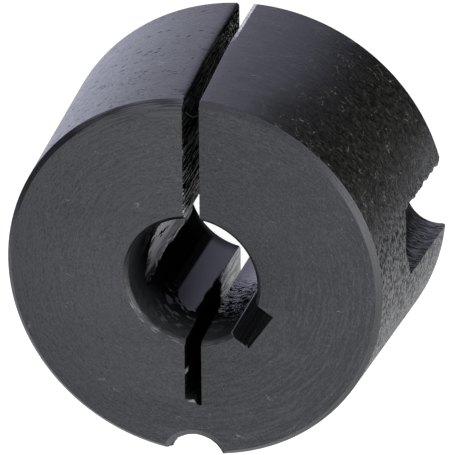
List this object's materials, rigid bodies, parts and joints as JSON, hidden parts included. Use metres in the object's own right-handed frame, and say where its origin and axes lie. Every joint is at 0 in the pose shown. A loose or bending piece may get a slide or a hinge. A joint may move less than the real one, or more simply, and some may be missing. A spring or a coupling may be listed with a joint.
{
  "type": "split taper bush",
  "caption": "Split conical bush in dark oxidised iron: keyed parallel bore, through slit, relief slit and half-round screw holes in the tapered outside.",
  "frame": {"origin": "centre of the large end face, which the bush stands on", "axes": "+Z along the bore, from the large end to the small end; +Y through the middle of the through slit at the small end; X across the slit"},
  "size_m": [0.0382, 0.0382, 0.0222],
  "materials": {
    "oxidised_iron": "black phosphated, faintly oily: matt fine-turned faces, glossier bore"
  },
  "bodies": {
    "root": {"taper_bush": "oxidised_iron"}
  },
  "joints": []
}
